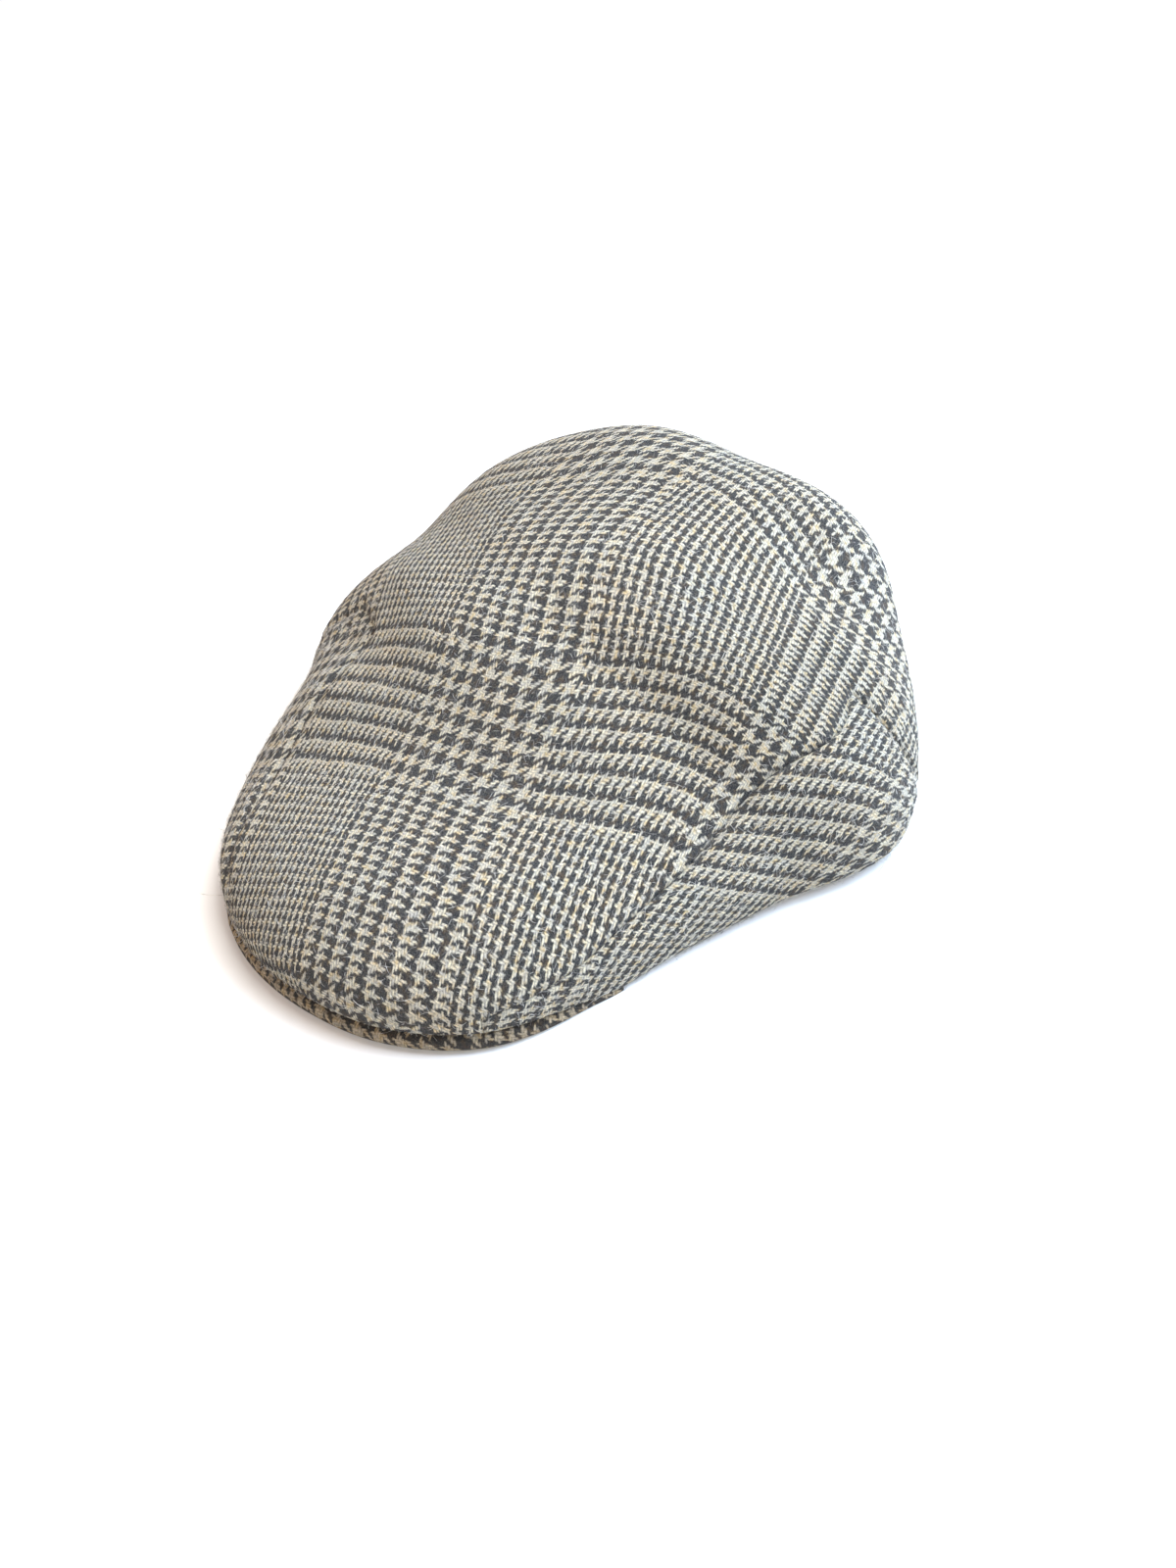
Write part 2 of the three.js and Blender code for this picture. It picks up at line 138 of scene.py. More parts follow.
def make_room():
    """The dim pale light that comes from everywhere."""
    world = bpy.data.worlds.new("room")
    world.use_nodes = True
    background = world.node_tree.nodes["Background"]
    background.inputs["Color"].default_value = ROOM_COLOUR
    background.inputs["Strength"].default_value = ROOM_STRENGTH
    bpy.context.scene.world = world
    bpy.context.scene.view_settings.view_transform = "Standard"


make_floor()
for light in LIGHTS:
    make_light(**light)
make_room()
print("lights:", ", ".join(f"{light['name']} {light['power']} W" for light in LIGHTS))

# %% [markdown]
# ## The cap's shape in numbers
# A flat cap is sewn from one long panel that runs over the crown, two panels at the sides and a stiff peak. The
# cloth panels together make one smooth soft surface. It could be sculpted by hand or simulated, but a few short
# tables are easier to read and to change: how far the cap reaches in each direction, how each section bends over
# from the crown to its widest line, and where the seams run. All of them are in millimetres and degrees, and an
# angle is a direction from the front towards the wearer's left.

# %% The tables
MM = 0.001
WALL, SEAM_GAP, TURN = 2.0, 0.2, 6.0
PEAK_MIDDLE, PEAK_HALF_ANGLE = -7.0, 37.0
HEAD_LENGTH, HEAD_WIDTH, HEAD_CENTRE_Y = 196.0, 168.0, 2.0
CROWN_SOFT, LEAN, LEAST_TUCK = 0.15, 0.02, 0.5

REACH = {  # how far the cap reaches from the crown's centre: direction, to the left of the front, to the right
    "angle": [0, 12, 26, 40, 58, 78, 98, 118, 138, 158, 180],
    "left": [131.5, 127, 113, 103, 101.5, 114, 108.5, 105.5, 110.5, 106, 113.5],
    "right": [131.5, 132, 131, 126, 113.5, 101.5, 107, 99, 105.5, 109.5, 113.5],
}
SECTIONS = {  # the widest line's height, and the two powers that bend the cloth over from the crown to it
    "angle": [0, 40, 90, 130, 180],
    "bulge": [7.5, 6.5, 6.5, 26, 22],
    "crown": [4, 3, 1.5, 1.7, 2.1],
    "shoulder": [2.6, 2.4, 2.2, 2, 2],
}
HEM = {  # from the peak's middle: the hem's height, how firmly it follows the head's oval, and its turned-in lip
    "angle": [0, 22, 38, 52, 75, 180],
    "rise": [5, 5, 1.4, 0, 0, 0],
    "firm": [0, 0.01, 0.03, 0.55, 1, 1],
    "lip": [0.5, 0.5, 0.5, 5, 7, 7],
}
PROFILE = {"y": [-160, -110, -60, -10, 40, 85, 125], "height": [20, 32, 36, 61, 73, 90, 58]}
SEAM = {  # the seam's distance above the hem, walked over the cloth, from its tip in front to its corner
    "angle": [12, 20, 30, 38, 59, 75, 90],
    "left": [6.5, 10, 18.5, 27, 48, 72, 74],
    "right": [4, 4.5, 6, 16.5, 58, 73.5, 73],
}
SEAM_DROP = {"share": [0, 0.3, 1], "angle": [90, 89.5, 94]}  # its way down from the corner to the hem
print("the cap reaches", REACH["left"][0], "mm to the front and", REACH["left"][-1], "mm to the back")

# %% [markdown]
# ## From numbers to a surface
# The surface is worked out from the crown's centre outwards. A place on it is named as on the cloth before sewing:
# the direction walked in, and the distance walked over the surface. This flat map of the cloth is what lets the
# seams, the folds and later the threads of the weave lie on the bent surface without stretching.

# %% Curves through the tables' rows
def curve(places, values):
    """A smooth curve through rows: cubics whose slope at a row is the mean of the slopes on its two sides, each
    weighted by the other side's width."""
    x, v = np.asarray(places, float), np.asarray(values, float)
    width, slope = np.diff(x), np.diff(v) / np.diff(x)
    between = (width[1:] * slope[:-1] + width[:-1] * slope[1:]) / (width[1:] + width[:-1])
    at_row = np.concatenate([slope[:1], between, slope[-1:]])

    def value(q):
        q = np.asarray(q, float)
        i = np.clip(np.searchsorted(x, q) - 1, 0, len(x) - 2)
        t = np.clip((q - x[i]) / width[i], 0, 1)
        u = 1 - t
        return (u * u * (1 + 2 * t) * v[i] + t * u * u * width[i] * at_row[i]
                + t * t * (3 - 2 * t) * v[i + 1] - t * t * u * width[i] * at_row[i + 1])

    return value


def curve_round(angles, left, right=None):
    """The same round a full turn, from -180 to 180 degrees, with the wearer's right at negative angles."""
    a, left = np.asarray(angles, float), np.asarray(left, float)
    right = left if right is None else np.asarray(right, float)
    turn = np.concatenate([-a[:0:-1], a])
    values = np.concatenate([right[:0:-1], left])
    values[0] = values[-1]
    turn = np.concatenate([turn[-3:-1] - 360, turn, turn[1:3] + 360])
    values = np.concatenate([values[-3:-1], values, values[1:3]])
    return curve(turn, values)


def turned(angle):
    """The same direction, from -180 to 180 degrees."""
    return angle - 360 * np.round(angle / 360)


reach = curve_round(REACH["angle"], REACH["left"], REACH["right"])
bulge, crown, shoulder = (curve_round(SECTIONS["angle"], SECTIONS[k]) for k in ("bulge", "crown", "shoulder"))
profile = curve(PROFILE["y"], PROFILE["height"])
hem_curves = {k: curve_round(HEM["angle"], HEM[k]) for k in ("rise", "firm", "lip")}


def hem(key, angle):
    """A hem value in a direction, which the table gives from the peak's middle."""
    return hem_curves[key](turned(angle - PEAK_MIDDLE))


def head_oval(angle):
    """How far the oval for the head lies from the crown's axis: the ray in that direction meets the ellipse
    ((x / a) squared + ((y - c) / b) squared = 1)."""
    a, b, c = HEAD_WIDTH / 2, HEAD_LENGTH / 2, HEAD_CENTRE_Y
    sine, cosine = np.sin(np.radians(angle)), np.cos(np.radians(angle))
    square = (sine / a) ** 2 + (cosine / b) ** 2
    shift = c * cosine / b**2
    return (-shift + np.sqrt(shift**2 - square * ((c / b) ** 2 - 1))) / square


def tuck(angle):
    """How far the hem tucks in from the widest line."""
    to_oval = reach(angle) - head_oval(angle) - hem("lip", angle)
    firm = hem("firm", angle)
    return np.maximum(LEAST_TUCK, LEAST_TUCK * (1 - firm) + to_oval * firm)


print("the hem tucks in, in front and to the left, back and right, by", tuck(np.array([0, 90, 180, -90])).round(1))

# %% Sections and places
def sections(angle, depth=0, crown_steps=44, tuck_steps=8):
    """The section in each direction, as distances from the axis and heights, one row a direction. From the crown out
    to the widest line the height over the bulge is (1 - share to the power crown) to the power 1 / shoulder of the
    profile's, then a quarter of an oval turns in to the hem, and a flat lip ends it. The inner skin is the same at a
    depth below the outer one."""
    angle = turned(np.asarray(angle, float))[:, None]
    far, low, n, m = reach(angle), bulge(angle), crown(angle), shoulder(angle)
    share = np.sin(np.linspace(0, np.pi / 2, crown_steps + 1)) ** (2 / n)
    top = profile(-far * share * np.cos(np.radians(angle))) + LEAN * far * share * np.sin(np.radians(angle))
    top = np.maximum(top, low + 1) - depth
    soft = (np.hypot(share, CROWN_SOFT) - CROWN_SOFT) / (np.hypot(1, CROWN_SOFT) - CROWN_SOFT)
    left = np.maximum(0, 1 - soft**n) ** (1 / m)
    bend = np.linspace(0, np.pi / 2, tuck_steps + 1)[1:]
    under = depth * np.clip(tuck(angle) / (3 * WALL), 0, 1)
    rise, tucked, far = np.maximum(0, hem("rise", angle)) + under, tuck(angle) - under, far - depth
    under_out = far - tucked * (1 - np.cos(bend))
    under_z = low - (low - rise) * np.sin(bend)
    out = np.concatenate([far * share, under_out, far - tucked - np.maximum(0.4, hem("lip", angle))], 1)
    z = np.concatenate([low + (top - low) * left, under_z, rise], 1)
    return out, z


def walk(angle):
    """The distance walked over the outer skin from the crown's centre, along each direction's section."""
    out, z = sections(angle)
    step = np.hypot(np.diff(out, axis=1), np.diff(z, axis=1))
    return np.concatenate([np.zeros((len(out), 1)), np.cumsum(step, 1)], 1)


def hem_distance(angle):
    """How far it is from the crown's centre to the hem's inner edge, walked over the cloth."""
    return walk(np.atleast_1d(angle))[:, -1]


def angle_of(flat):
    """The direction of places on the flat cloth, from the front towards the wearer's left."""
    return np.degrees(np.arctan2(flat[..., 0], -flat[..., 1]))


def flat_at(angle, distance):
    """The flat place in a direction and at a distance from the crown's centre."""
    turn = np.radians(angle)
    return np.stack([distance * np.sin(turn), -distance * np.cos(turn)], -1)


def smooth_place(flat, depth=0):
    """Where places on the flat cloth lie on the smooth surface, or on the one at a depth below it."""
    angle, distance = angle_of(flat), np.hypot(flat[:, 0], flat[:, 1])
    walked, (out, z) = walk(angle), sections(angle, depth)
    i = (walked < distance[:, None]).sum(1).clip(1, walked.shape[1] - 1)
    row = np.arange(len(flat))
    t = ((distance - walked[row, i - 1]) / (walked[row, i] - walked[row, i - 1])).clip(0, 1)
    out = out[row, i - 1] + (out[row, i] - out[row, i - 1]) * t
    z = z[row, i - 1] + (z[row, i] - z[row, i - 1]) * t
    turn = np.radians(angle)
    return np.stack([out * np.sin(turn), -out * np.cos(turn), z], -1)


def inside_hem(flat):
    """The same places, those past the hem brought back to it."""
    distance = np.hypot(flat[:, 0], flat[:, 1])
    return flat * (np.minimum(distance, hem_distance(angle_of(flat))) / np.maximum(distance, 1e-9))[:, None]


def normal_at(flat, away=1.5):
    """The smooth surface's outward normal: the cross product of short steps east and north on the flat cloth."""
    step = lambda x, y: smooth_place(inside_hem(flat + [x, y])) - smooth_place(inside_hem(flat - [x, y]))
    normal = np.cross(step(away, 0), step(0, away))
    return normal / np.linalg.norm(normal, axis=1)[:, None]


print("over the cloth it is", hem_distance([0, 90, 180, -90]).round(), "mm from the crown's centre to the hem")

# %% [markdown]
# ## A net over the flat cloth
# The panels need meshes whose lines follow their borders, or the seams would look jagged. The net has columns, which
# run from the crown's centre to the hem, and rings, which run round it. One ring passes exactly along both seams, and
# one column lies on each seam's way down to the hem, so that every panel is simply a part of the net.

# %% The net's knots
FINE = 4  # how many times finer than the solids
COUNTS = np.array([24, 36, 24, 8]) * FINE  # columns beside the left seam, behind, beside the right seam, in front
CROWN_RINGS, HEM_RINGS = 12 * FINE, 12 * FINE
RINGS, COLUMNS = CROWN_RINGS + HEM_RINGS, COUNTS.sum()
STARTS = np.concatenate([[0], np.cumsum(COUNTS)])
TIP, CORNER = SEAM["angle"][0], SEAM["angle"][-1]
above_left, above_right = curve(SEAM["angle"], SEAM["left"]), curve(SEAM["angle"], SEAM["right"])
drop_angle = curve(SEAM_DROP["share"], SEAM_DROP["angle"])


def make_net():
    """The flat places of all knots, as an array of columns by rings. Within a sector, directions are shared out
    evenly between the sector's two borders, and distances are shared out evenly from the centre to the seam's ring
    and from there to the hem."""
    t = np.clip((np.arange(RINGS + 1) - CROWN_RINGS) / HEM_RINGS, 0, 1)
    drop = drop_angle(t)
    borders = np.stack([TIP + 0 * t, drop, 360 - drop, 360 - TIP + 0 * t, 360 + TIP + 0 * t])
    sector = np.repeat(np.arange(4), COUNTS)
    share = np.concatenate([np.arange(n) / n for n in COUNTS])[:, None]
    angle = borders[sector] * (1 - share) + borders[sector + 1] * share
    start, share = angle[:, 0], share[:, 0]
    at_left = lambda a: hem_distance(a) - above_left(a)
    at_right = lambda a: hem_distance(a) - above_right(360 - a)
    ends = [at_left(TIP), at_left(CORNER), at_right(360 - CORNER), at_right(360 - TIP), at_left(TIP)]
    straight = np.array([e[0] for e in ends])
    seam = straight[sector] * (1 - share) + straight[sector + 1] * share
    seam = np.where(sector == 0, at_left(start), np.where(sector == 2, at_right(start), seam))[:, None]
    to_hem = hem_distance(angle.ravel()).reshape(angle.shape)
    ring = np.arange(RINGS + 1) / CROWN_RINGS
    distance = np.where(t > 0, seam * (1 - t) + to_hem * t, seam * np.minimum(ring, 1))
    return flat_at(angle, distance)


NET = make_net()
print("net", NET.shape, "knots, farthest", round(float(np.hypot(*NET[:, -1].T).max()), 1), "mm from the crown's centre")

# %% The seams as lines of knots
def seam_knots(sector):
    """The knots along one seam: up from the hem to its tip, along to its corner, and down to the hem again."""
    first, last = STARTS[sector], STARTS[sector + 1]
    up, down = np.arange(RINGS, CROWN_RINGS, -1), np.arange(CROWN_RINGS + 1, RINGS + 1)
    column = np.concatenate([np.full(HEM_RINGS, first), np.arange(first, last + 1), np.full(HEM_RINGS, last)])
    ring = np.concatenate([up, np.full(last - first + 1, CROWN_RINGS), down])
    return column % COLUMNS, ring


def to_line(places, line):
    """Each place's shortest distance to a line of places."""
    start, way = line[:-1], np.diff(line, axis=0)
    best = np.full(len(places), np.inf)
    for a, w in zip(start, way):
        t = np.clip(((places - a) @ w) / (w @ w + 1e-12), 0, 1)
        best = np.minimum(best, np.linalg.norm(places - a - t[:, None] * w, axis=1))
    return best


SEAM_LINES = [NET[seam_knots(sector)] for sector in (0, 2)]
for name, line in zip(("left", "right"), SEAM_LINES):
    print(name, "seam", round(float(np.linalg.norm(np.diff(line, axis=0), axis=1).sum())), "mm long on the flat cloth")

# %% [markdown]
# The solids are turned so that the peak points to the front, and moved so that the middle of their box is the
# origin. The same is done here.

# %% Into the row frame
MIDDLE = np.array([3.64, -10.57, 0])


def to_row(place):
    """The same places turned about the upright axis, less the middle, in metres."""
    turn = np.radians(TURN)
    spin = np.array([[np.cos(turn), -np.sin(turn), 0], [np.sin(turn), np.cos(turn), 0], [0, 0, 1]])
    return (place @ spin.T - MIDDLE) * MM


print("the crown's centre lies at", to_row(smooth_place(np.array([[0, -0.001]])))[0].round(4), "m")

# %% [markdown]
# ## Folds, dents and the pull of the seams
# Soft cloth never lies as smooth as a formula. Each fold is a long soft bump or hollow laid on the flat cloth, and
# along a seam, where the cloth is turned under and stitched, both panels dip into the seam and stand a little proud
# beside it. They move the surface along its normal, so that they work the same on the top and on the sides.

# %% Folds
FOLDS = [  # where on the flat cloth, which way it runs, how long and wide, and how high, in millimetres
    {"across": 35, "along": -28, "turn": -28, "long": 110, "wide": 32, "height": -3},  # the valley before the crown
    {"across": 52, "along": 4, "turn": -22, "long": 100, "wide": 34, "height": 2.5},  # the crown's puff behind it
    {"across": 70, "along": 42, "turn": -39, "long": 70, "wide": 22, "height": -2},
    {"across": 96, "along": 16, "turn": -20, "long": 44, "wide": 26, "height": 2},  # over the left seam's corner
    {"across": -66, "along": -22, "turn": -32, "long": 60, "wide": 26, "height": -2.5},  # by the right seam
    {"across": -62, "along": 6, "turn": -32, "long": 44, "wide": 22, "height": 1.5},
    # Smaller ones, which only the dressed cap has.
    {"across": 42, "along": -30, "turn": -27, "long": 90, "wide": 14, "height": -0.9},
    {"across": 70, "along": 14, "turn": 0, "long": 80, "wide": 16, "height": 0.9},
    {"across": -82, "along": -8, "turn": -60, "long": 34, "wide": 16, "height": -1.1},
    {"across": 104, "along": 12, "turn": 10, "long": 50, "wide": 12, "height": 1.2},
    {"across": 104, "along": -6, "turn": 5, "long": 40, "wide": 10, "height": -0.8},
]
SEAM_DIP = {"deep": 0.8, "wide": 1.4}  # the cloth is drawn into the seam
SEAM_SWELL = {"high": 0.35, "wide": 2.6, "off": 4.5}  # and swells beside it, over the turned-under edge
FOLDS_FADE, SEAMS_FADE = (12, 40), (2, 12)  # both fade out between these distances from the hem


def fold_height(flat):
    """The sum of the folds, each a bell in two directions: height times e to the minus 4 times the squared distance,
    measured in its own length and width."""
    height = np.zeros(len(flat))
    for fold in FOLDS:
        turn = np.radians(fold["turn"])
        dx, dy = flat[:, 0] - fold["across"], flat[:, 1] - fold["along"]
        along = (dx * np.cos(turn) + dy * np.sin(turn)) / fold["long"]
        wide = (dy * np.cos(turn) - dx * np.sin(turn)) / fold["wide"]
        height += fold["height"] * np.exp(-4 * (along**2 + wide**2))
    return height


def smooth_step(value, low, high):
    """From 0 at low to 1 at high, level at both ends: 3 t squared less 2 t cubed."""
    t = np.clip((value - low) / (high - low), 0, 1)
    return t * t * (3 - 2 * t)


def seam_relief(flat):
    """The cloth dips by a bell beside each seam, and stands proud by a wider bell a little further off."""
    near = np.minimum(*(to_line(flat, line) for line in SEAM_LINES))
    dip = SEAM_DIP["deep"] * np.exp(-((near / SEAM_DIP["wide"]) ** 2))
    return SEAM_SWELL["high"] * np.exp(-(((near - SEAM_SWELL["off"]) / SEAM_SWELL["wide"]) ** 2)) - dip


def flattened(place):
    """Cloth lies flat where it rests, and no part of it goes below the surface that it rests on."""
    return np.column_stack([place[:, :2], np.maximum(place[:, 2], 0)])


def cloth_skins(flat):
    """Where the cloth's outer and inner skins lie, in the row frame, in metres."""
    to_hem = hem_distance(angle_of(flat)) - np.hypot(flat[:, 0], flat[:, 1])
    folds = (fold_height(flat) * smooth_step(to_hem, *FOLDS_FADE))[:, None]
    relief = (seam_relief(flat) * smooth_step(to_hem, *SEAMS_FADE))[:, None]
    normal = normal_at(flat)
    outer, inner = smooth_place(flat) + normal * (folds + relief), smooth_place(flat, WALL) + normal * folds
    return flattened(to_row(outer)), flattened(to_row(inner))


heights = fold_height(NET.reshape(-1, 2))
print(len(FOLDS), "folds, from", round(float(heights.min()), 1), "to", round(float(heights.max()), 1), "mm high")

# %% [markdown]
# ## Threads on the flat cloth
# A woven pattern must follow the cloth and not the space round it. Two numbers say where a place is in the weave:
# the repeat across, counted over the warp threads, and the repeat along, counted over the weft. A few knots where
# lines of the check cross are known on the flat cloth, and a smooth interpolation carries them to every place.

# %% Where the lines of the check cross
CHECK_KNOTS = np.array([  # repeat across, repeat along, and the place on the flat cloth in millimetres
    (-12, -6, -71, -117), (-4, -8, -35, -131), (4, -8, 20, -140), (-12, 0, -76, -71), (-4, 0, -39, -73),
    (4, 0, 17, -79), (12, 0, 65, -76), (-12, 8, -71, -13), (-4, 8, -33, -19), (4, 8, 19, -22), (12, 8, 72, -21),
    (-4, 17, -31, 43), (4, 17, 21, 50), (12, 17, 71, 23), (12, 21, 72, 55), (-4, 20, -22, 61), (4, 20, 28, 66),
    (18, 17, 106, 8),
])
CHECK_LEFT = np.array([  # the same on the left side panel, which is cut from another place of the cloth
    (22, 12, 87, -2), (28, 12, 122, 14), (22, 8, 85, -29), (28, 8, 119, -15), (22, 4, 82, -55), (28, 4, 114, -41),
    (22, 0, 74, -80), (27, 0, 103, -70),
])
KNOT_SPREAD, KNOT_SLACK = 55.0, 0.02  # how far a knot is felt, and how much it may be missed for the sake of evenness
INNER_SHIFT = 0.28  # the inner skin's threads lie aside of the outer one's


def weave_of(flat, table=CHECK_KNOTS):
    """The two repeats at flat places. A plane is fitted to the knots, and what it misses is spread round each knot
    by a sum of bells."""
    knots, value = table[:, 2:], table[:, :2]
    plane = lambda p: np.column_stack([np.ones(len(p)), p])
    slope = np.linalg.lstsq(plane(knots), value, rcond=None)[0]
    bell = lambda a, b: np.exp(-((a[:, None] - b[None]) ** 2).sum(-1) / KNOT_SPREAD**2)
    weight = np.linalg.solve(bell(knots, knots) + KNOT_SLACK * np.eye(len(knots)), value - plane(knots) @ slope)
    return plane(flat) @ slope + bell(flat, knots) @ weight


for name, table in (("top", CHECK_KNOTS), ("left side", CHECK_LEFT)):
    missed = np.abs(weave_of(table[:, 2:], table) - table[:, :2]).max()
    print(name, len(table), "knots, the check misses one by", round(float(missed), 2), "of a repeat at most")

# %% [markdown]
# ## Panels
# A panel takes its part of the net. Its knots along a seam move aside by half the gap. A Solidify modifier could give
# the cloth its wall, but it goes by each panel's own normals, which differ at a seam, and narrow ends would cross. So
# the inner skin is worked out as the outer one is, and a strip of faces along every open edge joins the two.


def make_piece(name, places, faces, weave, material, node):
    """An object from arrays: places in metres, faces as lists of corners, and the weave's repeats at each place,
    which become the piece's UV map."""
    mesh = bpy.data.meshes.new(name)
    mesh.from_pydata(places, [], faces)
    corners = np.empty(len(mesh.loops), np.int32)
    mesh.loops.foreach_get("vertex_index", corners)
    mesh.uv_layers.new(name="weave").data.foreach_set("uv", weave[corners].ravel())
    mesh.polygons.foreach_set("use_smooth", np.ones(len(mesh.polygons), bool))
    mesh.materials.append(material)
    mesh.update()
    piece = bpy.data.objects.new(name, mesh)
    bpy.context.scene.collection.objects.link(piece)
    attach(piece, "root")
    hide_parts(node)
    print(name, len(places), "places,", len(faces), "faces, box", np.ptp(places, axis=0).round(4))
    return piece


def moved_aside(sector, distance):
    """The knots along one seam, moved sideways on the flat cloth."""
    knots = seam_knots(sector)
    line = NET[knots]
    way = np.gradient(line, axis=0)
    way /= np.linalg.norm(way, axis=1)[:, None]
    return knots, line + np.stack([-way[:, 1], way[:, 0]], 1) * distance


def open_edges(quads):
    """The two ends of each edge that only one face has, as that face goes round it."""
    edges = np.concatenate([quads[:, [k, (k + 1) % 4]] for k in range(4)])
    edges = edges[edges[:, 0] != edges[:, 1]]
    key = np.sort(edges, axis=1) @ [quads.max() + 1, 1]
    _, first, count = np.unique(key, return_index=True, return_counts=True)
    return edges[first[count == 1]].T


def make_panel(name, covers, moves, material, node, table=CHECK_KNOTS):
    """A panel from the meshes of the net that it covers. The crown's centre is one knot."""
    flat = NET.copy()
    for knots, places in moves:
        flat[knots] = places
    column, ring = np.nonzero(covers)
    after = (column + 1) % COLUMNS
    number = np.arange(NET.shape[0] * NET.shape[1]).reshape(NET.shape[:2])
    number[:, 0] = number[0, 0]
    quads = np.stack([number[column, ring], number[column, ring + 1], number[after, ring + 1], number[after, ring]], 1)
    used, quads = np.unique(quads, return_inverse=True)
    quads = quads.reshape(-1, 4)
    flat = flat.reshape(-1, 2)[used]
    flat = np.where(np.abs(flat).sum(1, keepdims=True) < 1e-6, [[0, -1e-3]], flat)
    n, (a, b) = len(used), open_edges(quads)
    faces = [q[:3] if k == 0 else q for q, k in zip(quads.tolist(), ring)]
    faces += [q[2::-1] if k == 0 else q[::-1] for q, k in zip((quads + n).tolist(), ring)]
    faces += np.stack([b, a, a + n, b + n], 1).tolist()
    places, weave = np.concatenate(cloth_skins(flat)), weave_of(flat, table)
    return make_piece(name, places, faces, np.concatenate([weave, weave + INNER_SHIFT]), material, node)

# %% [markdown]
# ## Woollen twill
# The cloth is a glen check: eight repeats of four light and four dark threads, then eight or nine of two and two,
# woven so that each thread passes over two and under two and the crossings step sideways by one thread a row. This is
# drawn with plain arithmetic on the weave's two repeats. The thread that stands higher is the one that shows, and
# the same height makes the bump. An image could carry the pattern too, but arithmetic stays sharp at any distance.

# %% A short way to write node sums
class Sums:
    """Adds Math nodes to a material: each call makes a node, joins its inputs and gives its output."""

    def __init__(self, tree):
        self.tree = tree

    def __call__(self, operation, *values):
        node = self.tree.nodes.new("ShaderNodeMath")
        node.operation = operation
        for socket, value in zip(node.inputs, values):
            if isinstance(value, (int, float)):
                socket.default_value = value
            else:
                self.tree.links.new(value, socket)
        return node.outputs[0]

    def node(self, kind, output=0, inputs=(), **settings):
        """Any other kind of node, with its inputs by name or number. It gives one of its outputs."""
        node = self.tree.nodes.new(kind)
        for key, value in settings.items():
            setattr(node, key, value)
        for key, value in dict(inputs).items():
            if hasattr(value, "is_output"):
                self.tree.links.new(value, node.inputs[key])
            else:
                node.inputs[key].default_value = value
        return node.outputs[output]


def mix(s, share, a, b):
    """A colour between two, by a share from 0 to 1."""
    node = s.tree.nodes.new("ShaderNodeMix")
    node.data_type = "RGBA"
    for socket, value in zip((node.inputs[0], node.inputs[6], node.inputs[7]), (share, a, b)):
        if hasattr(value, "is_output"):
            s.tree.links.new(value, socket)
        else:
            socket.default_value = value if isinstance(value, (int, float)) else (*value, 1)
    return node.outputs[2]

# %% [markdown]
# The threads are counted, and each is light or dark by its number. The first eight repeats of a cycle are the wide
# part of the check, with four light and four dark threads. The rest is the narrow part, with two and two.

# %% The check's arithmetic
THREADS = 8  # threads in a repeat of the four-and-four check
WIDE = {"every": 8.0, "light": 4.0, "creep": 0.3}  # dark wool creeps over a light band's two edges, in threads
NARROW = {"every": 4.0, "light": 2.0, "creep": 0.2}
WIDE_REPEATS = 8.0  # of a cycle's repeats, these many are wide
WARP_START, WEFT_START, CYCLE_START = 5.0, 6.0, 4.0  # where the counts of threads and of repeats across begin
WARP_CYCLE, WEFT_CYCLE = 16.0, 17.0
STEP = 3.0  # threads that the twill's floats are moved by, so that they meet the check's corners
CROSSING = 0.24  # the softness of the border where one thread dips under another


def by_share(s, share, a, b):
    """The number a where the share is 1, b where it is 0, and a mean between."""
    return s("ADD", s("MULTIPLY", share, a), s("MULTIPLY", s("SUBTRACT", 1.0, share), b))


def light_thread(s, number, repeat, cycle):
    """1 where a thread is light: the first four of eight in the wide part, which is the first repeats of a cycle, and
    the first two of four in the rest of it. A light band is narrower than its threads by what creeps over it."""
    def light(part):
        counted = s("FLOORED_MODULO", s("SUBTRACT", number, part["creep"]), part["every"])
        return s("LESS_THAN", counted, part["light"] - 2 * part["creep"])

    in_wide = s("LESS_THAN", s("FLOORED_MODULO", repeat, cycle), WIDE_REPEATS)
    return by_share(s, in_wide, light(WIDE), light(NARROW))


def thread_height(s, across, along):
    """A thread's height at a place: a half wave across it times a soft wave along it, which is highest at the middle
    of its float over two crossing threads and lowest two threads further on."""
    round_over = s("SINE", s("MULTIPLY", s("FRACT", across), 3.1416))
    off = s("SUBTRACT", s("FLOORED_MODULO", s("ADD", along, 2.0), 4.0), 2.0)
    wave = s("ADD", 0.5, s("MULTIPLY", 0.5, s("COSINE", s("MULTIPLY", off, 1.5708))))
    return s("MULTIPLY", s("POWER", round_over, 0.7), wave)


def weave_at(s, moved):
    """The twill at a place: how far the warp lies over the weft, how light the thread on top is, and its height."""
    split = s.tree.nodes.new("ShaderNodeSeparateXYZ")
    s.tree.links.new(moved, split.inputs[0])
    u, v = split.outputs["X"], split.outputs["Y"]
    warp = s("ADD", s("MULTIPLY", u, float(THREADS)), WARP_START)
    weft = s("ADD", s("MULTIPLY", v, float(THREADS)), WEFT_START)
    warp_high = thread_height(s, warp, s("SUBTRACT", s("SUBTRACT", weft, s("FLOOR", warp)), STEP))
    weft_high = thread_height(s, weft, s("SUBTRACT", warp, s("FLOOR", weft)))
    over = s.node("ShaderNodeMapRange", 0, {
        "Value": s("SUBTRACT", warp_high, weft_high), "From Min": -CROSSING, "From Max": CROSSING})
    warp_light = light_thread(s, warp, s("ADD", u, CYCLE_START), WARP_CYCLE)
    weft_light = light_thread(s, weft, v, WEFT_CYCLE)
    return over, by_share(s, over, warp_light, weft_light), s("MAXIMUM", warp_high, weft_high)

